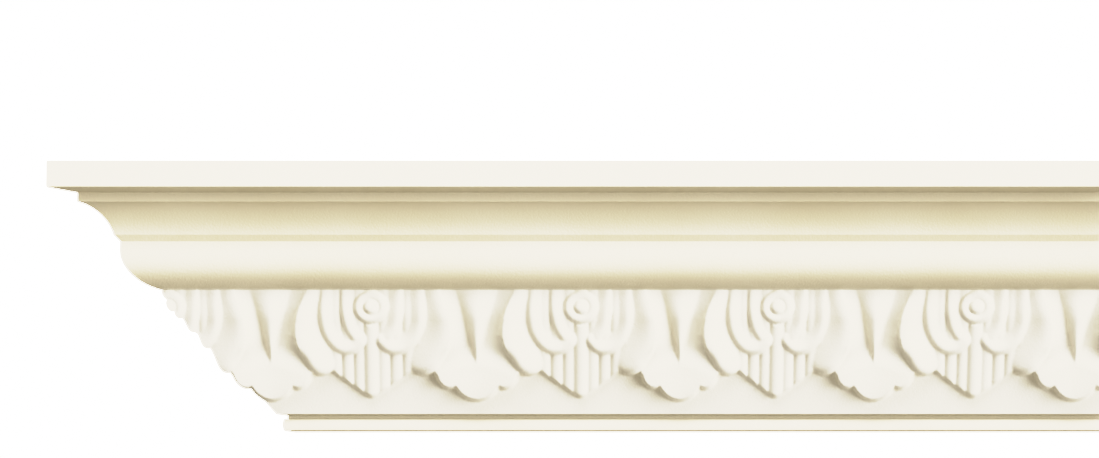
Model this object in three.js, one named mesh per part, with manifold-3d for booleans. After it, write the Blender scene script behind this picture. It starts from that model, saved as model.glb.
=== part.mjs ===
// Cornice moulding with a carved leaf and dart band, millimetres, +Z up.
// +X runs along the moulding, the wall is at Y = 0 and the room is on the -Y side. The left end is
// mitred for an outside corner and the right end is cut square. The origin is the middle of the face
// that lies on the wall.

import * as THREE from 'three';
import { mergeVertices, toCreasedNormals } from 'three/addons/utils/BufferGeometryUtils.js';
import Module from 'manifold-3d';

const wasm = await Module();
wasm.setup();

const { clamp, degToRad, lerp, smoothstep } = THREE.MathUtils;

// Length of the fascia, from the point of the mitre to the square end
const length = 520;
// Mitre of the left end, for a right-angled outside corner
const mitreAngle = degToRad(45);

// Profile, from the ceiling down. A depth is level, away from the wall, and a height is upright.
const fasciaHeight = 12.8;
const soffitDepth = 14.2;
const filletHeight = 4.4;
const coveDepth = 17;
const coveHeight = 13.2;
const coveSag = 3.3;
const quirkDepth = 3.1;
const quirkHeight = 2.8;
const ovoloFlat = 4.4;
const ovoloHeight = 16;
const ovoloDepth = 20.4;
const friezeHeight = 52.4;
const friezeDepth = 53.9;
const lipDepth = 3.9;
const grooveHeight = 2.1;
const grooveDepth = 1.5;
const beadHeight = 5.6;
const beadDepth = 5.1;
const beadCrown = 0.65;
// Flats that bear on the wall and on the ceiling
const wallContact = 22;
const ceilingContact = 26;

// Half a repeat of the carving runs from a rosette's axis to the next leaf's axis. It was laid out by
// hand, so the halves differ by these shares of the mean, counted from the first rosette at the mitre.
const halfRepeat = 49.7;
const handSpacing = [1.014, 0.99, 1.05, 1.036, 0.982, 0.956, 0.974, 0.996, 1.006];
// First rosette, from the mitre's line on the wall
const firstRosette = -61.2;

// The carving stands out along a line that leans this far below level
const reliefLean = degToRad(11);
// Heights of the carving over the flat of the frieze, along that line
const rosetteHeight = 7;
const ringHeight = 5.35;
const innerLobeHeight = 5.3;
const middleLobeHeight = 5.8;
const outerLobeHeight = 8.4;
const browHeight = 6;
const wedgeHeight = 6;
const hollowHeight = 1.45;
const tongueHeight = 4.1;
const scallopLift = 2.2;
const bedHeight = 2.2;
const dartHeight = 1.5;
const reedHeight = 1.9;
const stemHeight = 4.3;

// The carving is faceted on this many cells a tile each way, and less finely where the facets stray
// less than the tolerance from it. The tolerance is for facets one cell long and shrinks as they grow.
const tileCells = 64;
const carvingTolerance = 2.1;
const arcSteps = 8;

// The carving is drawn on a tile, from the rosette's axis across to the leaf's axis and from the ovolo
// down to the foot of the frieze. Its places and widths are in these units: u across and v down.
const tileAcross = 100;
const tileDown = 124;

// Height of a round across its width, from 1 in the middle to 0 at share 1
function dome(share) {
  return Math.sqrt(Math.max(0, 1 - share * share));
}

// Value at v on straight lines through [v, value] pairs
function valueAt(pairs, v) {
  const next = pairs.findIndex((pair) => pair[0] > v);
  if (next < 0) return pairs.at(-1)[1];
  if (next === 0) return pairs[0][1];
  const [a, b] = [pairs[next - 1], pairs[next]];
  return lerp(a[1], b[1], (v - a[0]) / (b[0] - a[0]));
}

function curve(points) {
  return new THREE.SplineCurve(points.map((point) => new THREE.Vector2(...point))).getPoints(24);
}

// Three lobes nest round the rosette. Each climbs from a low inner side to a crest on its outer side,
// and curls in to a round tip.
const outerLobe = {
  line: curve([[54, -8], [55.5, 5], [60, 18], [62.5, 34], [60, 50], [50.5, 68.5]]),
  halfWidth: [8.5, 16.5],
  foot: bedHeight,
  crest: [browHeight, outerLobeHeight],
  innerSide: 0.12,
  squareness: 4,
};
const middleLobe = {
  line: curve([[42, -8], [43, 10], [43.5, 24], [42, 36], [37, 47], [29, 54.5], [20, 55], [14, 50]]),
  halfWidth: [8.4, 9.4],
  foot: bedHeight,
  crest: [0.95 * middleLobeHeight, middleLobeHeight],
  innerSide: 0.3,
  squareness: 2.6,
};
const innerLobe = {
  line: curve([[23, -8], [23, 10], [22, 24], [19, 36], [13.5, 45]]),
  halfWidth: [7.6, 8.4],
  foot: bedHeight,
  crest: [innerLobeHeight, innerLobeHeight],
  innerSide: 0.3,
  squareness: 2.4,
};

function lobeAt(u, v, lobe) {
  const spans = lobe.line.length - 1;
  let near = Infinity;
  let outward = 0;
  let share = 0;
  for (let i = 0; i < spans; i++) {
    const a = lobe.line[i];
    const b = lobe.line[i + 1];
    const run = a.distanceTo(b);
    const [du, dv] = [(b.x - a.x) / run, (b.y - a.y) / run];
    const s = clamp((u - a.x) * du + (v - a.y) * dv, 0, run);
    const gap = Math.hypot(u - a.x - s * du, v - a.y - s * dv);
    if (gap < near) {
      near = gap;
      outward = (u - a.x) * dv - (v - a.y) * du;
      share = (i + s / run) / spans;
    }
  }
  const half = lerp(...lobe.halfWidth, smoothstep(share, 0, 1));
  if (near >= half) return 0;
  const crest = lerp(...lobe.crest, smoothstep(share, 0.35, 1));
  const slope = lerp(lobe.innerSide, 1, smoothstep(outward / half, -1, 0.7));
  let edge = Math.sqrt(1 - (near / half) ** lobe.squareness);
  // The outer lobe's crest runs on into the leaf, down to where its tip comes free
  if (lobe === outerLobe && outward > 0) edge = lerp(1, edge, smoothstep(v, 56, 72));
  return lobe.foot + (crest - lobe.foot) * slope * edge;
}

// The dart is a reeded shield, with a stem that comes down its middle from the rosette
const reedPitch = 11.8;
const stemHalf = 7.4;

function dartAt(u, v) {
  const edge = 111.8 - 0.72 * Math.hypot(u, 4);
  const inside = smoothstep(edge - v, 0, 4);
  const offset = ((u + reedPitch / 2) % reedPitch) - reedPitch / 2;
  const shield = u < 46 ? dartHeight + reedHeight * dome((2 * offset) / reedPitch) : 0;
  const onStem = u < stemHalf && v > 28;
  const stem = onStem ? lerp(dartHeight, stemHeight, dome(u / stemHalf)) : 0;
  return inside * Math.max(shield, stem);
}

// The leaf has a wedge down its middle, a hollow that climbs from the wedge to the outer lobe's crest,
// and a tongue at its foot that curls out to scallops. d is the distance from the leaf's axis.
const wedgeEdge = [[0, 20], [7, 18], [31, 11.5], [47, 8], [63, 4], [76, 0.01]];
const crestLine = [
  [0, 37], [6, 35], [18, 30], [34, 26], [45, 26], [52, 28.5], [66, 33], [76, 38], [80, 42], [84, 46],
];

function insideScallop(d, v, centre, half) {
  const reach = Math.hypot((d - centre[0]) / half[0], (v - centre[1]) / half[1]);
  return (1 - reach) * Math.min(...half);
}

function tongueAt(d, v) {
  const middle = insideScallop(d, v, [0, 84.5], [25, 27.5]);
  const side = insideScallop(d, v, [26, 79], [15, 21.5]);
  const outline = Math.max(middle, side, Math.min(42 - d, 86 - v));
  const lift = lerp(smoothstep(v, 66, 104), smoothstep(d, 0, 36), 0.45);
  return smoothstep(outline, 0, 2.5) * (tongueHeight + scallopLift * lift);
}

function leafAt(u, v) {
  const d = tileAcross - u;
  if (d > 46) return 0;
  const tongue = tongueAt(d, v);
  // The tongue starts under the hollow, lower down away from the axis
  const belowHollow = v - 66 - 0.3 * d;
  const crest = valueAt(crestLine, v);
  if (d > crest + 1) return belowHollow > 0 ? tongue : 0;
  const wedge = valueAt(wedgeEdge, v);
  let upper;
  if (d < wedge) {
    upper = lerp(wedgeHeight, hollowHeight, (d / wedge) ** 1.8);
  } else {
    const brow = browHeight * (1 + 0.2 * smoothstep(v, 30, 50) - 0.6 * smoothstep(v, 52, 72));
    upper = lerp(hollowHeight, brow, clamp((d - wedge) / (crest - wedge), 0, 1) ** 1.7);
  }
  return lerp(upper, tongue, smoothstep(belowHollow, -14, 10));
}

// The rosette is a ball in a ring, with a fine groove round it
const rosetteDown = 17;
const ballRadius = 7.2;
const ringMiddle = 12;
const ringHalf = 4.2;

function rosetteAt(u, v, around) {
  const radius = Math.hypot(u, v - rosetteDown);
  const floor = 0.73 * ringHeight;
  if (radius < ballRadius) return lerp(floor, rosetteHeight, dome(radius / ballRadius));
  if (radius < ringMiddle + ringHalf) {
    return lerp(floor, ringHeight, dome(clamp((radius - ringMiddle) / ringHalf, -1, 1)));
  }
  return radius < ringMiddle + ringHalf + 1.2 ? Math.min(around, 0.8 * floor) : around;
}

// Height of the whole carving, which swells out from under the ovolo
function carvingAt(u, v) {
  const bed = u < 52 && v < 52 ? bedHeight : 0;
  const lobes = [outerLobe, middleLobe, innerLobe].map((lobe) => lobeAt(u, v, lobe));
  const around = Math.max(bed, dartAt(u, v), leafAt(u, v), ...lobes);
  const swell = lerp(0.25, 1, smoothstep(v, -8, 30));
  return rosetteAt(u, v, around) * swell;
}

// Splits the tile into right triangles by their longest sides, only where the carving needs it, so that
// neighbours always share whole sides. A triangle is three [column, row] corners, longest side first.
function splitTile() {
  const side = tileCells + 1;
  const heights = new Float64Array(side * side);
  for (let i = 0; i < heights.length; i++) {
    const u = (tileAcross * (i % side)) / tileCells;
    const v = (tileDown * Math.floor(i / side)) / tileCells;
    heights[i] = carvingAt(u, v);
  }
  const at = ([column, row]) => row * side + column;
  const middle = ([a, b]) => [(a[0] + b[0]) / 2, (a[1] + b[1]) / 2];
  const halves = ([a, b, c]) => [[c, a, middle([a, b])], [b, c, middle([a, b])]];
  const span = ([a, b]) => Math.max(Math.abs(a[0] - b[0]), Math.abs(a[1] - b[1]));
  const splits = (triangle) => span(triangle) > 1;
  const end = tileCells;
  const roots = [[[0, 0], [end, end], [end, 0]], [[end, end], [0, 0], [0, end]]];
  const levels = [roots];
  while (levels.at(-1).some(splits)) levels.push(levels.at(-1).filter(splits).flatMap(halves));

  // How far the carving strays from the middle of each longest side, there and at every finer level
  const errors = new Float64Array(side * side);
  for (const triangle of levels.reverse().flat().filter(splits)) {
    const m = at(middle(triangle));
    const straight = (heights[at(triangle[0])] + heights[at(triangle[1])]) / 2;
    const own = Math.abs(heights[m] - straight) * span(triangle);
    const finer = halves(triangle).filter(splits).map((half) => errors[at(middle(half))]);
    errors[m] = Math.max(errors[m], own, ...finer);
  }

  const kept = [];
  const pending = [...roots];
  while (pending.length > 0) {
    const triangle = pending.pop();
    const coarse = splits(triangle) && errors[at(middle(triangle))] > carvingTolerance;
    if (coarse) pending.push(...halves(triangle));
    else kept.push(triangle);
  }
  return { triangles: kept, heightAt: (corner) => heights[at(corner)] };
}

// Arc between two profile points that bows out to its left by sag
function arc(from, to, sag) {
  const [run, rise] = [to[0] - from[0], to[1] - from[1]];
  const chord = Math.hypot(run, rise);
  const radius = (chord * chord) / (8 * sag) + sag / 2;
  const half = Math.asin(chord / (2 * radius));
  const points = [];
  for (let i = 0; i <= arcSteps; i++) {
    const angle = lerp(-half, half, i / arcSteps);
    const s = 0.5 + (radius * Math.sin(angle)) / chord;
    const bow = (radius * (Math.cos(angle) - Math.cos(half))) / chord;
    points.push([from[0] + s * run - bow * rise, from[1] + s * rise + bow * run]);
  }
  return points;
}

// Profile points are [distance from the wall, height over the foot]
const grooveTop = beadHeight + grooveHeight;
const friezeFoot = [beadDepth + lipDepth, grooveTop];
const friezeTop = [friezeFoot[0] + friezeDepth, friezeFoot[1] + friezeHeight];
const ovoloFront = [friezeTop[0] + ovoloDepth, friezeTop[1] + ovoloHeight];
const ovoloTop = [ovoloFront[0], ovoloFront[1] + ovoloFlat];
const coveFoot = [ovoloTop[0] + quirkDepth, ovoloTop[1] + quirkHeight];
const coveTop = [coveFoot[0] + coveDepth, coveFoot[1] + coveHeight];
const soffit = coveTop[1] + filletHeight;
const projection = coveTop[0] + soffitDepth;
const height = soffit + fasciaHeight;

// Outline without the frieze: up the front from the ovolo, down the back, and round the bead
function plainProfile() {
  const ovolo = [];
  for (let i = 1; i <= arcSteps; i++) {
    const angle = (i / arcSteps) * (Math.PI / 2);
    const out = friezeTop[0] + ovoloDepth * Math.sin(angle);
    ovolo.push([out, ovoloFront[1] - ovoloHeight * Math.cos(angle)]);
  }
  const grooveFloor = beadDepth - grooveDepth;
  return [
    ...ovolo,
    ovoloTop,
    ...arc(coveFoot, coveTop, coveSag),
    [coveTop[0], soffit],
    [projection, soffit],
    [projection, height],
    [projection - ceilingContact, height],
    [0, wallContact],
    [0, 0],
    ...arc([beadDepth, 0], [beadDepth, beadHeight], -beadCrown),
    [grooveFloor, beadHeight],
    [grooveFloor, grooveTop],
  ];
}

// The wall meets the moulding from the mitre's line to the square end
const wallLength = length - projection * Math.tan(mitreAngle);
const mitreLine = -wallLength / 2;
const squareEnd = wallLength / 2;

// Axes of the rosettes and leaves, past both ends of the moulding
function carvingAxes() {
  const axes = [mitreLine + firstRosette];
  let turn = 0;
  while (axes.at(-1) < squareEnd) {
    axes.push(axes.at(-1) + halfRepeat * handSpacing[turn % handSpacing.length]);
    turn += 1;
  }
  let before = 0;
  while (axes[0] > squareEnd - length) {
    axes.unshift(axes[0] - halfRepeat);
    before += 1;
  }
  // The first rosette is at an even place, so that even axes are rosettes
  if (before % 2 === 1) axes.unshift(axes[0] - halfRepeat);
  return axes;
}

// Bar of moulding with square ends, as triangles that face out
function bar() {
  const corners = [];
  const point = (x, [out, up]) => [x, -out, up - wallContact / 2];
  const face = (...points) => corners.push(...points.flat());

  const axes = carvingAxes();
  const ends = [axes[0], axes.at(-1)];
  const tile = splitTile();
  const friezePoint = (x, corner) => {
    const share = corner[1] / tileCells;
    const raise = tile.heightAt(corner);
    const out = lerp(friezeTop[0], friezeFoot[0], share) + raise * Math.cos(reliefLean);
    const up = lerp(friezeTop[1], friezeFoot[1], share) - raise * Math.sin(reliefLean);
    return point(x, [out, up]);
  };
  const topRow = new Map();
  const footRow = new Map();
  for (let i = 0; i < axes.length - 1; i++) {
    const mirrored = i % 2 === 1;
    for (const triangle of tile.triangles) {
      const points = triangle.map((corner) => {
        const share = corner[0] / tileCells;
        const x = lerp(axes[i], axes[i + 1], mirrored ? 1 - share : share);
        const place = friezePoint(x, corner);
        if (corner[1] === 0) topRow.set(x, place);
        if (corner[1] === tileCells) footRow.set(x, place);
        return place;
      });
      if (mirrored) points.reverse();
      face(...points);
    }
  }

  // Plain strips, each between two rows of points in order of x
  const strip = (lower, upper) => {
    let [i, j] = [0, 0];
    while (i < lower.length - 1 || j < upper.length - 1) {
      const lowerNext = lower[i + 1]?.[0] ?? Infinity;
      const upperNext = upper[j + 1]?.[0] ?? Infinity;
      if (lowerNext < upperNext) {
        face(lower[i], lower[i + 1], upper[j]);
        i += 1;
      } else {
        face(lower[i], upper[j + 1], upper[j]);
        j += 1;
      }
    }
  };
  const profile = plainProfile();
  const inOrder = (row) => [...row.keys()].sort((a, b) => a - b).map((x) => row.get(x));
  const rows = [
    inOrder(topRow),
    axes.map((x) => point(x, profile[0])),
    ...profile.slice(1).map((pair) => ends.map((x) => point(x, pair))),
    inOrder(footRow),
  ];
  for (let i = 0; i < rows.length - 1; i++) strip(rows[i], rows[i + 1]);

  // The raw ends fan out from a point inside. The cuts take them away.
  for (const end of [0, 1]) {
    const column = end === 0 || axes.length % 2 === 1 ? 0 : tileCells;
    const edge = new Set(tile.triangles.flat().filter((c) => c[0] === column).map((c) => c[1]));
    const outline = [
      ...profile.map((pair) => point(ends[end], pair)),
      ...[...edge].sort((a, b) => b - a).map((row) => friezePoint(ends[end], [column, row])),
    ];
    if (end === 1) outline.reverse();
    const inside = point(ends[end], [projection / 2, height * 0.75]);
    outline.forEach((place, i) => face(inside, place, outline[(i + 1) % outline.length]));
  }

  const geometry = new THREE.BufferGeometry();
  geometry.setAttribute('position', new THREE.Float32BufferAttribute(corners, 3));
  return geometry;
}

function toSolid(geometry) {
  const bare = geometry.clone();
  bare.deleteAttribute('normal');
  bare.deleteAttribute('uv');
  const merged = mergeVertices(bare);
  return new wasm.Manifold(new wasm.Mesh({
    numProp: 3,
    vertProperties: merged.attributes.position.array,
    triVerts: merged.index.array,
  }));
}

function toGeometry(solid) {
  const mesh = solid.getMesh();
  const geometry = new THREE.BufferGeometry();
  geometry.setAttribute('position', new THREE.BufferAttribute(mesh.vertProperties, 3));
  geometry.setIndex(new THREE.BufferAttribute(mesh.triVerts, 1));
  return toCreasedNormals(geometry, degToRad(35));
}

function makeCornice() {
  const reach = 2 * (length + projection + height);
  const beyondMitre = new THREE.BoxGeometry(reach, reach, reach);
  beyondMitre.translate(-reach / 2, 0, 0).rotateZ(-mitreAngle).translate(mitreLine, 0, 0);
  const beyondEnd = new THREE.BoxGeometry(reach, reach, reach);
  beyondEnd.translate(squareEnd + reach / 2, 0, 0);
  return toGeometry(toSolid(bar()).subtract(toSolid(beyondMitre)).subtract(toSolid(beyondEnd)));
}

const moulded = new THREE.MeshStandardMaterial({ color: 0xf0ebdc, roughness: 0.62, metalness: 0 });

const cornice = new THREE.Mesh(makeCornice(), moulded);
cornice.name = 'cornice_moulding';

const part = new THREE.Group();
part.add(cornice);

export default part;
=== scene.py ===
import math

import bmesh
import bpy
import numpy as np
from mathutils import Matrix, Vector


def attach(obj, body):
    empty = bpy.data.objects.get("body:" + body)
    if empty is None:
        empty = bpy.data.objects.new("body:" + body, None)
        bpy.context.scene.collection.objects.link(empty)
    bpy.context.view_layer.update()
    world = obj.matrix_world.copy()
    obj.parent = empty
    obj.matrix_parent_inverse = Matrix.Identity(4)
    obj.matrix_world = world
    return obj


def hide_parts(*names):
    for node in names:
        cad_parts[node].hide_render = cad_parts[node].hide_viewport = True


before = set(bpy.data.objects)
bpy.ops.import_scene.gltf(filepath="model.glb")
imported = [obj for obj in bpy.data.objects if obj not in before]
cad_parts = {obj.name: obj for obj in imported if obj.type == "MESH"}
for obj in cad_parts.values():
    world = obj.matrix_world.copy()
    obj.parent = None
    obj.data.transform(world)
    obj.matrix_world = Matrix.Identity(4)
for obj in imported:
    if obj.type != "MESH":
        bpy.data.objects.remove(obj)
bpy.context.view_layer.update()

# The moulding's sizes in millimetres, as in the part's source. The length is the fascia's.
LENGTH = 520
MITRE = math.radians(45)
FASCIA_HEIGHT = 12.8
SOFFIT_DEPTH = 14.2
FILLET_HEIGHT = 4.4
COVE_DEPTH = 17
COVE_HEIGHT = 13.2
COVE_SAG = 3.3
QUIRK_DEPTH = 3.1
QUIRK_HEIGHT = 2.8
OVOLO_FLAT = 4.4
OVOLO_HEIGHT = 16
OVOLO_DEPTH = 20.4
FRIEZE_HEIGHT = 52.4
FRIEZE_DEPTH = 53.9
LIP_DEPTH = 3.9
GROOVE_HEIGHT = 2.1
GROOVE_DEPTH = 1.5
BEAD_HEIGHT = 5.6
BEAD_DEPTH = 5.1
BEAD_CROWN = 0.65
WALL_CONTACT = 22
CEILING_CONTACT = 26

# Half a repeat of the carving, each half's share of that mean, and the first rosette's place from
# the mitre's line on the wall
HALF_REPEAT = 49.7
HAND_SPACING = [1.014, 0.99, 1.05, 1.036, 0.982, 0.956, 0.974, 0.996, 1.006]
FIRST_ROSETTE = -61.2

# Heights of the carving over the flat of the frieze, along a line that leans this far below level
RELIEF_LEAN = math.radians(11)
ROSETTE = 7
RING = 5.35
INNER_LOBE = 5.3
MIDDLE_LOBE = 5.8
OUTER_LOBE = 8.4
BROW = 6
WEDGE = 6
HOLLOW = 1.45
TONGUE = 4.1
SCALLOP_LIFT = 2.2
BED = 2.2
DART = 1.5
REED = 1.9
STEM = 4.3

# The carving is drawn on a tile, from the rosette's axis across to the leaf's axis and from the
# ovolo down to the foot of the frieze. Its places and widths are in the tile's units: u across and v
# down. Nothing is carved further down than the last of these.
TILE_ACROSS = 100
TILE_DOWN = 124
CARVED_DOWN = 114

# Fine mesh: cells across a tile, rows down to the end of the carving and rows below it. The plain
# mouldings have one cell for each stride of this many cells of the carving.
COLUMNS = 84
CARVED_ROWS = 104
PLAIN_ROWS = 2
STRIDE = 6

# The carving is averaged over these shifts, each with its weight, so that its edges are cast soft
SOFTENING = [(-0.9, 0.25), (0.0, 0.5), (0.9, 0.25)]

# Millimetres to a metre
PER_METRE = 1000

# Steps in a lobe's line, in the ovolo and the cove, in the bead and in a rounded corner
CURVE_STEPS = 32
ARC_STEPS = 18
BEAD_STEPS = 10
CORNER_STEPS = 4


def smooth(x, low, high):
    """Eases from 0 at low to 1 at high."""
    t = np.clip((x - low) / (high - low), 0, 1)
    return t * t * (3 - 2 * t)


def lerp(a, b, t):
    return a + (b - a) * t


def dome(share):
    """Height of a round across its width, from 1 in the middle to 0 at share 1."""
    return np.sqrt(np.clip(1 - share * share, 0, None))


def value_at(pairs, v):
    """Value at v on straight lines through (v, value) pairs."""
    places, values = zip(*pairs)
    return np.interp(v, places, values)


def curve(points):
    """Smooth curve through points, as an array of points."""
    p = np.array(points, float)
    p = np.vstack([p[:1], p, p[-1:]])
    spans = len(p) - 3
    t = np.linspace(0, 1, CURVE_STEPS // spans + 1, endpoint=False)[:, None]
    line = []
    for before, start, end, after in zip(p, p[1:], p[2:], p[3:]):
        leaving, arriving = (end - before) / 2, (after - start) / 2
        squared = 3 * (end - start) - 2 * leaving - arriving
        cubed = 2 * (start - end) + leaving + arriving
        line.append(start + leaving * t + squared * t**2 + cubed * t**3)
    return np.vstack(line + [p[-2:-1]])


# Three lobes nest round the rosette. Each climbs from a low inner side to a crest on its outer
# side, and curls in to a round tip. Pairs are values at the start and at the tip of its line.
OUTER = {
    "line": curve([(54, -8), (55.5, 5), (60, 18), (62.5, 34), (60, 50), (50.5, 68.5)]),
    "half": (8.5, 16.5),
    "crest": (BROW, OUTER_LOBE),
    "inner": 0.12,
    "squareness": 4.0,
}
MIDDLE = {
    "line": curve([(42, -8), (43, 10), (43.5, 24), (42, 36),
                   (37, 47), (29, 54.5), (20, 55), (14, 50)]),
    "half": (8.4, 9.4),
    "crest": (0.95 * MIDDLE_LOBE, MIDDLE_LOBE),
    "inner": 0.3,
    "squareness": 2.6,
}
INNER = {
    "line": curve([(23, -8), (23, 10), (22, 24), (19, 36), (13.5, 45)]),
    "half": (7.6, 8.4),
    "crest": (INNER_LOBE, INNER_LOBE),
    "inner": 0.3,
    "squareness": 2.4,
}
# A lobe climbs to its crest's full height over this share of its line, and from its inner to its
# outer side over this share of its half width
CREST_CLIMB = (0.35, 1)
SIDE_CLIMB = (-1, 0.7)
# The outer lobe's crest runs on into the leaf, and its tip comes free between these places down
TIP_FREE = (56, 72)


def lobe_at(u, v, lobe):
    line = lobe["line"]
    spans = len(line) - 1
    near = np.full(u.shape, np.inf)
    outward = np.zeros(u.shape)
    share = np.zeros(u.shape)
    for i in range(spans):
        a, b = line[i], line[i + 1]
        run = math.hypot(*(b - a))
        du, dv = (b - a) / run
        s = np.clip((u - a[0]) * du + (v - a[1]) * dv, 0, run)
        gap = np.hypot(u - a[0] - s * du, v - a[1] - s * dv)
        closer = gap < near
        near = np.where(closer, gap, near)
        outward = np.where(closer, (u - a[0]) * dv - (v - a[1]) * du, outward)
        share = np.where(closer, (i + s / run) / spans, share)
    half = lerp(*lobe["half"], smooth(share, 0, 1))
    crest = lerp(*lobe["crest"], smooth(share, *CREST_CLIMB))
    slope = lerp(lobe["inner"], 1, smooth(outward / half, *SIDE_CLIMB))
    edge = np.sqrt(np.clip(1 - (near / half) ** lobe["squareness"], 0, None))
    if lobe is OUTER:
        edge = np.where(outward > 0, lerp(1, edge, smooth(v, *TIP_FREE)), edge)
    return np.where(near < half, BED + (crest - BED) * slope * edge, 0)


# The dart is a reeded shield, with a stem that comes down its middle from the rosette. Its edge
# rises from the blunt point by the slope.
REED_PITCH = 11.8
STEM_HALF = 7.4
STEM_START = 28
SHIELD_HALF = 46
DART_POINT = 111.8
DART_SLOPE = 0.72
DART_BLUNTNESS = 4
DART_BEVEL = 4


def dart_at(u, v):
    edge = DART_POINT - DART_SLOPE * np.hypot(u, DART_BLUNTNESS)
    inside = smooth(edge - v, 0, DART_BEVEL)
    offset = (u + REED_PITCH / 2) % REED_PITCH - REED_PITCH / 2
    shield = np.where(u < SHIELD_HALF, DART + REED * dome(2 * offset / REED_PITCH), 0)
    on_stem = (u < STEM_HALF) & (v > STEM_START)
    stem = np.where(on_stem, lerp(DART, STEM, dome(u / STEM_HALF)), 0)
    return inside * np.maximum(shield, stem)


# The tongue curls out to scallops, each a centre and its half sizes, and between them it reaches to
# the web's end. These are all (distance from the leaf's axis, v).
MIDDLE_SCALLOP = ((0, 84.5), (25, 27.5))
SIDE_SCALLOP = ((26, 79), (15, 21.5))
WEB_END = (42, 86)
TONGUE_BEVEL = 2.5
# It lifts down these places and out over these, the second by this share of the whole
LIFT_DOWN = (66, 104)
LIFT_OUT = (0, 36)
LIFT_OUT_SHARE = 0.45


def tongue_at(d, v):
    def inside_scallop(centre, half):
        reach = np.hypot((d - centre[0]) / half[0], (v - centre[1]) / half[1])
        return (1 - reach) * min(half)

    scallops = np.maximum(inside_scallop(*MIDDLE_SCALLOP), inside_scallop(*SIDE_SCALLOP))
    outline = np.maximum(scallops, np.minimum(WEB_END[0] - d, WEB_END[1] - v))
    lift = lerp(smooth(v, *LIFT_DOWN), smooth(d, *LIFT_OUT), LIFT_OUT_SHARE)
    return smooth(outline, 0, TONGUE_BEVEL) * (TONGUE + SCALLOP_LIFT * lift)


# The leaf has a wedge down its middle, and a hollow that climbs from the wedge to the outer lobe's
# crest. Pairs are v and the distance from the leaf's axis.
LEAF_HALF = 46
WEDGE_EDGE = [(0, 20), (7, 18), (31, 11.5), (47, 8), (63, 4), (76, 0.01)]
CREST_LINE = [(0, 37), (6, 35), (18, 30), (34, 26), (45, 26),
              (52, 28.5), (66, 33), (76, 38), (80, 42), (84, 46)]
# Powers that bend the wedge's sides down and the hollow's up
WEDGE_BEND = 1.8
HOLLOW_BEND = 1.7
# The brow swells by a share of its height between two places down, and sinks again further down
BROW_SWELL = 0.2
BROW_SWELL_DOWN = (30, 50)
BROW_SINK = 0.6
BROW_SINK_DOWN = (52, 72)
# The tongue starts under the hollow, lower down away from the axis, and blends with it over a
# stretch
HOLLOW_FOOT = 66
HOLLOW_FOOT_SLOPE = 0.3
TONGUE_BLEND = (-14, 10)


def leaf_at(u, v):
    d = TILE_ACROSS - u
    tongue = tongue_at(d, v)
    below_hollow = v - HOLLOW_FOOT - HOLLOW_FOOT_SLOPE * d
    wedge = value_at(WEDGE_EDGE, v)
    crest = value_at(CREST_LINE, v)
    middle = lerp(WEDGE, HOLLOW, np.clip(d / wedge, 0, 1) ** WEDGE_BEND)
    swell = BROW_SWELL * smooth(v, *BROW_SWELL_DOWN) - BROW_SINK * smooth(v, *BROW_SINK_DOWN)
    climb = np.clip((d - wedge) / (crest - wedge), 0, 1) ** HOLLOW_BEND
    sides = lerp(HOLLOW, BROW * (1 + swell), climb)
    leaf = lerp(np.where(d < wedge, middle, sides), tongue, smooth(below_hollow, *TONGUE_BLEND))
    beyond_crest = np.where(below_hollow > 0, tongue, 0)
    leaf = np.where(d > crest + 1, beyond_crest, leaf)
    return np.where(d > LEAF_HALF, 0, leaf)


# The rosette is a ball in a ring, with a fine groove round it. Its floor is a share of the ring's
# height, and the groove's is a share of that.
ROSETTE_DOWN = 17
BALL_RADIUS = 7.2
RING_MIDDLE = 12
RING_HALF = 4.2
RING_GROOVE = 1.2
FLOOR_SHARE = 0.73
GROOVE_SHARE = 0.8


def rosette_at(u, v, around):
    radius = np.hypot(u, v - ROSETTE_DOWN)
    floor = FLOOR_SHARE * RING
    ring_edge = RING_MIDDLE + RING_HALF
    ball = lerp(floor, ROSETTE, dome(radius / BALL_RADIUS))
    ring = lerp(floor, RING, dome(np.clip((radius - RING_MIDDLE) / RING_HALF, -1, 1)))
    sunk = np.minimum(around, GROOVE_SHARE * floor)
    groove = np.where(radius < ring_edge + RING_GROOVE, sunk, around)
    return np.where(radius < BALL_RADIUS, ball, np.where(radius < ring_edge, ring, groove))


# The bed under the lobes reaches this far from the corner of the tile
BED_REACH = 52
# The carving swells out from under the ovolo, from this share of its height, over these places down
SWELL_START = 0.25
SWELL_DOWN = (-8, 30)


def carving_at(u, v):
    """Height of the whole carving."""
    bed = np.where((u < BED_REACH) & (v < BED_REACH), BED, 0)
    lobes = [lobe_at(u, v, lobe) for lobe in (OUTER, MIDDLE, INNER)]
    around = np.maximum.reduce([bed, dart_at(u, v), leaf_at(u, v)] + lobes)
    swell = lerp(SWELL_START, 1, smooth(v, *SWELL_DOWN))
    return rosette_at(u, v, around) * swell


def tile_heights(v_rows):
    """Softened heights of the carving at every row and column of the tile."""
    u_columns = np.linspace(0, TILE_ACROSS, COLUMNS + 1)
    total = 0
    for du, u_weight in SOFTENING:
        for dv, v_weight in SOFTENING:
            u, v = np.meshgrid(np.abs(u_columns + du), v_rows + dv)
            u = np.where(u > TILE_ACROSS, 2 * TILE_ACROSS - u, u)
            total = total + u_weight * v_weight * carving_at(u, np.clip(v, 0, TILE_DOWN))
    return total


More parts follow.
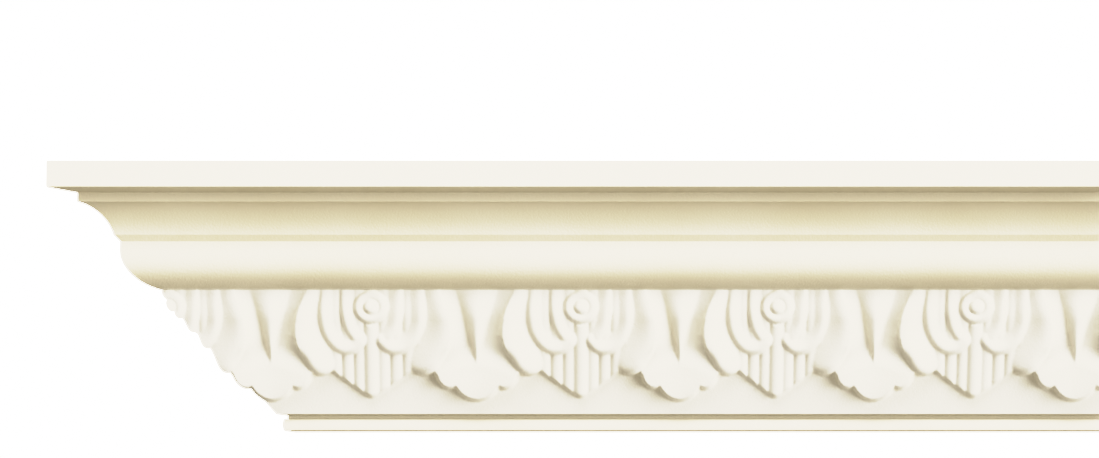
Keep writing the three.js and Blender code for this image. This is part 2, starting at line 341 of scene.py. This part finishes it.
# Profile points are (distance from the wall, height over the foot)
GROOVE_FLOOR = BEAD_DEPTH - GROOVE_DEPTH
GROOVE_TOP = BEAD_HEIGHT + GROOVE_HEIGHT
FRIEZE_FOOT = (BEAD_DEPTH + LIP_DEPTH, GROOVE_TOP)
FRIEZE_TOP = (FRIEZE_FOOT[0] + FRIEZE_DEPTH, FRIEZE_FOOT[1] + FRIEZE_HEIGHT)
OVOLO_FRONT = (FRIEZE_TOP[0] + OVOLO_DEPTH, FRIEZE_TOP[1] + OVOLO_HEIGHT)
OVOLO_TOP = (OVOLO_FRONT[0], OVOLO_FRONT[1] + OVOLO_FLAT)
COVE_FOOT = (OVOLO_TOP[0] + QUIRK_DEPTH, OVOLO_TOP[1] + QUIRK_HEIGHT)
COVE_TOP = (COVE_FOOT[0] + COVE_DEPTH, COVE_FOOT[1] + COVE_HEIGHT)
SOFFIT = COVE_TOP[1] + FILLET_HEIGHT
PROJECTION = COVE_TOP[0] + SOFFIT_DEPTH
HEIGHT = SOFFIT + FASCIA_HEIGHT

# The ovolo's points go by the angle round it, in degrees. The first is the solid's first.
OVOLO_ANGLES = [11.25] + list(np.linspace(15, 90, ARC_STEPS))


def arc(start, end, sag, steps):
    """Points on the arc from start to end that bows out to its left by sag."""
    run, rise = end[0] - start[0], end[1] - start[1]
    chord = math.hypot(run, rise)
    radius = chord * chord / (8 * sag) + sag / 2
    half = math.asin(chord / (2 * radius))
    points = []
    for i in range(steps + 1):
        angle = lerp(-half, half, i / steps)
        s = 0.5 + radius * math.sin(angle) / chord
        bow = radius * (math.cos(angle) - math.cos(half)) / chord
        points.append((start[0] + s * run - bow * rise, start[1] + s * rise + bow * run))
    return points


# A corner's round takes at most this share of each side. A side that is long for the round gets a
# point just past it, which keeps the flat flat in smooth shading.
ROUND_SHARE = 0.42
LONG_SIDE = 3
GUARD_POINT = 1.6


def rounded(corners):
    """Outline with each (point, radius) corner replaced by a small arc."""
    points = []
    for i, (point, radius) in enumerate(corners):
        if radius == 0:
            points.append(point)
            continue
        corner = Vector(point)
        before = Vector(corners[i - 1][0]) - corner
        after = Vector(corners[(i + 1) % len(corners)][0]) - corner
        back, on = before.normalized(), after.normalized()
        half = back.angle(on) / 2
        shortest = min(before.length, after.length)
        reach = min(radius / math.tan(half), ROUND_SHARE * shortest)
        fitted = reach * math.tan(half)
        centre = corner + (back + on).normalized() * (fitted / math.sin(half))
        if before.length > LONG_SIDE * reach:
            points.append(tuple(corner + back * reach * GUARD_POINT))
        start, end = corner + back * reach - centre, corner + on * reach - centre
        for k in range(CORNER_STEPS + 1):
            ray = start.lerp(end, k / CORNER_STEPS).normalized() * fitted
            points.append(tuple(centre + ray))
        if after.length > LONG_SIDE * reach:
            points.append(tuple(corner + on * reach * GUARD_POINT))
    return points


def plain_profile():
    """Outline without the frieze: up the front, down the back, and round the bead."""
    def unrounded(points):
        return [(point, 0) for point in points]

    ovolo = []
    for angle in np.radians(OVOLO_ANGLES):
        out = FRIEZE_TOP[0] + OVOLO_DEPTH * math.sin(angle)
        ovolo.append((out, OVOLO_FRONT[1] - OVOLO_HEIGHT * math.cos(angle)))
    cove = arc(COVE_FOOT, COVE_TOP, COVE_SAG, ARC_STEPS)
    bead = arc((BEAD_DEPTH, 0), (BEAD_DEPTH, BEAD_HEIGHT), -BEAD_CROWN, BEAD_STEPS)
    return rounded([
        *unrounded(ovolo),
        (OVOLO_TOP, 0.5),
        (cove[0], 0.4),
        *unrounded(cove[1:-1]),
        (cove[-1], 0.3),
        ((COVE_TOP[0], SOFFIT), 0.5),
        ((PROJECTION, SOFFIT), 0.8),
        ((PROJECTION, HEIGHT), 0.6),
        ((PROJECTION - CEILING_CONTACT, HEIGHT), 0),
        ((0, WALL_CONTACT), 0),
        ((0, 0), 0),
        (bead[0], 0.5),
        *unrounded(bead[1:-1]),
        (bead[-1], 0.4),
        ((GROOVE_FLOOR, BEAD_HEIGHT), 0.3),
        ((GROOVE_FLOOR, GROOVE_TOP), 0.3),
    ])


# The wall meets the moulding from the mitre's line to the square end
WALL_LENGTH = LENGTH - PROJECTION * math.tan(MITRE)
MITRE_LINE = -WALL_LENGTH / 2
SQUARE_END = WALL_LENGTH / 2


def carving_axes():
    """Places along the wall of rosettes and leaves in turn, past both ends of the moulding."""
    axes = [MITRE_LINE + FIRST_ROSETTE]
    turn = 0
    while axes[-1] < SQUARE_END:
        axes.append(axes[-1] + HALF_REPEAT * HAND_SPACING[turn % len(HAND_SPACING)])
        turn += 1
    before = 0
    while axes[0] > SQUARE_END - LENGTH or before % 2 == 1:
        axes.insert(0, axes[0] - HALF_REPEAT)
        before += 1
    return axes


def placed(x, out, up):
    """Points in metres in the part's own frame."""
    levels = up - WALL_CONTACT / 2
    return np.stack(np.broadcast_arrays(x, -out, levels), axis=-1) / PER_METRE


def fan(dense, coarse):
    """Triangles from a dense row of points to a coarse one over it."""
    middle = STRIDE // 2
    faces = []
    for k in range(len(coarse) - 1):
        d = dense[k * STRIDE:(k + 1) * STRIDE + 1]
        for j in range(STRIDE):
            faces.append((d[j], d[j + 1], coarse[k] if j < middle else coarse[k + 1]))
        faces.append((d[middle], coarse[k + 1], coarse[k]))
    return faces


def frieze_points(x_columns, halves):
    """Grid of the frieze's points, a row for each place down the tile."""
    v_rows = np.concatenate([np.linspace(0, CARVED_DOWN, CARVED_ROWS + 1),
                             np.linspace(CARVED_DOWN, TILE_DOWN, PLAIN_ROWS + 1)[1:]])
    tile = tile_heights(v_rows)
    turns = [tile if i % 2 == 0 else tile[:, ::-1] for i in range(halves)]
    heights = np.hstack([turn[:, :-1] for turn in turns] + [turns[-1][:, -1:]])
    share = (v_rows / TILE_DOWN)[:, None]
    out = lerp(FRIEZE_TOP[0], FRIEZE_FOOT[0], share) + heights * math.cos(RELIEF_LEAN)
    up = lerp(FRIEZE_TOP[1], FRIEZE_FOOT[1], share) - heights * math.sin(RELIEF_LEAN)
    return placed(x_columns, out, up)


def moulding_bar():
    """Mesh with raw ends beyond both cuts, with its frieze's first and last rows of points."""
    axes = carving_axes()
    columns = [np.linspace(a, b, COLUMNS + 1)[:-1] for a, b in zip(axes, axes[1:])]
    columns = np.append(np.concatenate(columns), axes[-1])
    frieze = frieze_points(columns, len(axes) - 1)
    grid = np.arange(frieze.shape[0] * frieze.shape[1]).reshape(frieze.shape[:2])
    quads = np.stack([grid[1:, :-1], grid[1:, 1:], grid[:-1, 1:], grid[:-1, :-1]], axis=-1)
    faces = [tuple(quad) for quad in quads.reshape(-1, 4).tolist()]

    # The plain mouldings have a row of points for each profile point
    plain = np.stack([placed(columns[::STRIDE], *pair) for pair in plain_profile()])
    rows = np.arange(plain.shape[0] * plain.shape[1]).reshape(plain.shape[:2])
    rows = (grid.size + rows).tolist()
    top, foot = grid[0].tolist(), grid[-1].tolist()
    faces += fan(top, rows[0])
    for low, high in zip(rows, rows[1:]):
        faces += [(low[k], low[k + 1], high[k + 1], high[k]) for k in range(len(low) - 1)]
    faces += [tuple(reversed(face)) for face in fan(foot, rows[-1])]

    points = np.vstack([frieze.reshape(-1, 3), plain.reshape(-1, 3)])
    mesh = bpy.data.meshes.new("moulded_cornice")
    mesh.from_pydata(points.tolist(), [], faces)
    # The carved band is painted lighter where this is 1: painted light on the band, painted shade on
    # the plain mouldings
    carved = mesh.attributes.new("carved", "FLOAT", "POINT")
    carved.data.foreach_set("value", (np.arange(len(points)) < grid.size).astype(np.float32))
    mesh.validate()
    return mesh, top, foot


def cut_end(bm, place, normal):
    """Cuts off what lies beyond a plane and closes the cut with one flat face that looks out."""
    geometry = bm.verts[:] + bm.edges[:] + bm.faces[:]
    cut = bmesh.ops.bisect_plane(bm, geom=geometry, dist=1e-7, plane_co=place, plane_no=normal,
                                 clear_outer=True)
    edges = [part for part in cut["geom_cut"] if isinstance(part, bmesh.types.BMEdge)]
    for face in bmesh.ops.edgeloop_fill(bm, edges=edges)["faces"]:
        face.smooth = False
        if face.normal.dot(Vector(normal)) < 0:
            face.normal_flip()


# A face looks back, or is level, from these parts of its normal on. The foot is what lies within a
# tenth of a millimetre of the lowest level.
BACKWARD = 0.3
LEVEL = 0.98
FOOT_LEVEL = (0.1 - WALL_CONTACT / 2) / PER_METRE


def is_flat(face):
    """Whether a face is on the back, the ceiling's flat or the foot, which have crisp edges."""
    on_foot = face.normal.z < -LEVEL and face.calc_center_median().z < FOOT_LEVEL
    return face.normal.y > BACKWARD or face.normal.z > LEVEL or on_foot


def make_moulding():
    mesh, top, foot = moulding_bar()
    bm = bmesh.new()
    bm.from_mesh(mesh)
    for face in bm.faces:
        face.smooth = True
    bm.verts.ensure_lookup_table()
    for row in (top, foot):
        for a, b in zip(row, row[1:]):
            bm.edges.get((bm.verts[a], bm.verts[b])).smooth = False
    cut_end(bm, (MITRE_LINE / PER_METRE, 0, 0), (-math.cos(MITRE), math.sin(MITRE), 0))
    cut_end(bm, (SQUARE_END / PER_METRE, 0, 0), (1, 0, 0))
    for face in bm.faces:
        if is_flat(face):
            face.smooth = False
    bm.to_mesh(mesh)
    bm.free()
    piece = bpy.data.objects.new("moulded_cornice", mesh)
    bpy.context.scene.collection.objects.link(piece)
    return piece


# Each pair is the darker and the lighter tone of the soft clouds in the primer. The carved band's
# pair is painted lighter than the plain mouldings' pair: painted light on the band, painted shade on
# the plain mouldings.
PLAIN_TONES_PAINTED_DARKER = ((0.69, 0.643, 0.525), (0.73, 0.687, 0.577))
CARVED_TONES_PAINTED_LIGHTER = ((0.90, 0.882, 0.825), (0.925, 0.91, 0.865))
# Painted shade in the recesses, on the plain mouldings and on the carving
PLAIN_RECESS_PAINTED_SHADE = (0.5, 0.465, 0.385)
CARVED_RECESS_PAINTED_SHADE = (0.69, 0.645, 0.525)


def primed_foam():
    """Cream primer on moulded foam: mottled, with a faint pebble from the spray and the mould.
    Recesses carry painted shade, and the carved band is painted lighter than the plain mouldings.
    """
    material = bpy.data.materials.new("primed_foam")
    material.use_nodes = True
    nodes, links = material.node_tree.nodes, material.node_tree.links
    shader = nodes["Principled BSDF"]
    where = nodes.new("ShaderNodeTexCoord")

    def spread(value, inputs):
        node = nodes.new("ShaderNodeMapRange")
        for name, setting in inputs.items():
            node.inputs[name].default_value = setting
        links.new(value, node.inputs["Value"])
        return node.outputs["Result"]

    def noise(scale, detail, low, high):
        texture = nodes.new("ShaderNodeTexNoise")
        texture.inputs["Scale"].default_value = scale
        texture.inputs["Detail"].default_value = detail
        links.new(where.outputs["Object"], texture.inputs["Vector"])
        return spread(texture.outputs["Fac"],
                      {"From Min": 0.3, "From Max": 0.7, "To Min": low, "To Max": high})

    def mix(factor, a, b):
        blend = nodes.new("ShaderNodeMix")
        blend.data_type = "RGBA"
        links.new(factor, blend.inputs["Factor"])
        for socket, colour in ((blend.inputs["A"], a), (blend.inputs["B"], b)):
            if isinstance(colour, tuple):
                socket.default_value = (*colour, 1)
            else:
                links.new(colour, socket)
        return blend.outputs["Result"]

    # The carved band is painted lighter than the plain mouldings: painted light on the band, painted
    # shade on the plain mouldings
    cloud = noise(scale=18, detail=4, low=0, high=1)
    carved = nodes.new("ShaderNodeAttribute")
    carved.attribute_name = "carved"
    primer_with_painted_light = mix(carved.outputs["Fac"], mix(cloud, *PLAIN_TONES_PAINTED_DARKER), mix(cloud, *CARVED_TONES_PAINTED_LIGHTER))

    # Painted shade: recesses are tinted khaki where the ambient occlusion finds them closed in
    open_air = nodes.new("ShaderNodeAmbientOcclusion")
    open_air.samples = 8
    open_air.inputs["Distance"].default_value = 0.03
    openness = spread(open_air.outputs["AO"], {"From Min": 0.35, "From Max": 0.9})
    painted_recess_shade = mix(carved.outputs["Fac"], PLAIN_RECESS_PAINTED_SHADE, CARVED_RECESS_PAINTED_SHADE)
    links.new(mix(openness, painted_recess_shade, primer_with_painted_light), shader.inputs["Base Color"])

    links.new(noise(scale=60, detail=3, low=0.48, high=0.62), shader.inputs["Roughness"])
    shader.inputs["Specular IOR Level"].default_value = 0.35
    pebble = nodes.new("ShaderNodeBump")
    pebble.inputs["Strength"].default_value = 0.25
    pebble.inputs["Distance"].default_value = 0.0002
    links.new(noise(scale=900, detail=3, low=0, high=1), pebble.inputs["Height"])
    links.new(pebble.outputs["Normal"], shader.inputs["Normal"])
    return material


# The camera looks up at the moulding from a few metres away. Half a millimetre of the moulding is a
# pixel of the photo.
CAMERA_RISE = math.radians(11)
CAMERA_TARGET = (-0.07475, 0, 0.0919)
CAMERA_DISTANCE = 4
CAMERA_REACH = 50
SENSOR_WIDTH = 36
PHOTO_WIDTH = 1099
PIXELS_PER_METRE = 2000


def add_camera():
    data = bpy.data.cameras.new("camera")
    data.sensor_width = SENSOR_WIDTH
    data.lens = SENSOR_WIDTH * CAMERA_DISTANCE * PIXELS_PER_METRE / PHOTO_WIDTH
    data.clip_end = CAMERA_REACH
    camera = bpy.data.objects.new("camera", data)
    sight = Vector((0, math.cos(CAMERA_RISE), math.sin(CAMERA_RISE)))
    camera.location = Vector(CAMERA_TARGET) - CAMERA_DISTANCE * sight
    camera.rotation_euler = (math.radians(90) + CAMERA_RISE, 0, 0)
    bpy.context.scene.collection.objects.link(camera)
    bpy.context.scene.camera = camera


# Brightest tone of the scene, which is the backdrop's
BRIGHTEST = 8.0

# Soft lights far away: name, the way to each, its width in degrees, and its strength in red,
# green and blue
SUNS = [
    ("front", (0, -0.788, 0.616), 34, (5.4, 5.4, 5.4)),
    ("right", (0.81, -0.586, -0.02), 40, (4.6, 4.6, 4.6)),
    ("back", (-0.3, 0.8, 0.5), 34, (3.4, 3.4, 3.5)),
]


def add_suns():
    for name, towards, width, strength in SUNS:
        data = bpy.data.lights.new(name, "SUN")
        data.energy = max(strength)
        data.color = [s / max(strength) for s in strength]
        data.angle = math.radians(width)
        light = bpy.data.objects.new(name, data)
        light.rotation_euler = Vector(towards).to_track_quat("Z", "Y").to_euler()
        bpy.context.scene.collection.objects.link(light)


def add_surround():
    """Dim warm light from all round, in front of a white backdrop."""
    world = bpy.data.worlds.new("studio")
    world.use_nodes = True
    bpy.context.scene.world = world
    nodes, links = world.node_tree.nodes, world.node_tree.links
    surround = nodes["Background"]
    surround.inputs["Color"].default_value = (1.0, 0.91, 0.77, 1)
    surround.inputs["Strength"].default_value = 0.48
    backdrop = nodes.new("ShaderNodeBackground")
    backdrop.inputs["Color"].default_value = (BRIGHTEST, BRIGHTEST, BRIGHTEST, 1)
    seen = nodes.new("ShaderNodeLightPath")
    mix = nodes.new("ShaderNodeMixShader")
    links.new(seen.outputs["Is Camera Ray"], mix.inputs["Fac"])
    links.new(surround.outputs["Background"], mix.inputs[1])
    links.new(backdrop.outputs["Background"], mix.inputs[2])
    links.new(mix.outputs["Shader"], nodes["World Output"].inputs["Surface"])


# Tones in the scene that the grade sets. Above the knee they bend over towards each colour's white.
GRADED_TONES = (0.05, 0.15, 0.3, 0.45, 0.6, 0.7, 0.85, 1.0, 1.2, 1.5, 2.0, 3.0, 5.0)
KNEE = 0.6
# Gain, gamma and white of red, green and blue
GRADES = [(1.06, 1.3, 0.91), (1.07, 1.32, 0.888), (1.05, 1.38, 0.835)]


def grade():
    """Bends the brightest tones over, as an exposure for a white object does, and warms dark
    ones."""
    settings = bpy.context.scene.view_settings
    settings.view_transform = "Standard"
    settings.use_curve_mapping = True
    mapping = settings.curve_mapping
    mapping.white_level = (BRIGHTEST, BRIGHTEST, BRIGHTEST)
    for channel, (gain, gamma, white) in enumerate(GRADES):
        tones = mapping.curves[channel]
        tones.points[0].location = (0, 0)
        tones.points[1].location = (1, 1)
        room = white - KNEE
        for x in GRADED_TONES:
            y = (gain * x) ** gamma
            if y > KNEE:
                y = KNEE + room * (1 - math.exp(-(y - KNEE) / room))
            tones.points.new(x / BRIGHTEST, y)
    mapping.update()


# Half the floor's side and its level, in metres. It is low, so that views from below see past it.
FLOOR_HALF = 9
FLOOR_LEVEL = -4.2


def add_floor():
    """Plain pale floor that neither lights the moulding from below nor shades it."""
    h = FLOOR_HALF
    mesh = bpy.data.meshes.new("floor")
    mesh.from_pydata([(-h, -h, 0), (h, -h, 0), (h, h, 0), (-h, h, 0)], [], [(0, 1, 2, 3)])
    floor = bpy.data.objects.new("floor", mesh)
    floor.location.z = FLOOR_LEVEL
    material = bpy.data.materials.new("pale_floor")
    material.use_nodes = True
    shader = material.node_tree.nodes["Principled BSDF"]
    shader.inputs["Base Color"].default_value = (0.46, 0.455, 0.44, 1)
    shader.inputs["Roughness"].default_value = 0.8
    mesh.materials.append(material)
    bpy.context.scene.collection.objects.link(floor)
    floor.visible_diffuse = False
    floor.visible_shadow = False


grade()
add_camera()
add_suns()
add_surround()
add_floor()
moulding = make_moulding()
moulding.data.materials.append(primed_foam())
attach(moulding, "root")
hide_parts("cornice_moulding")
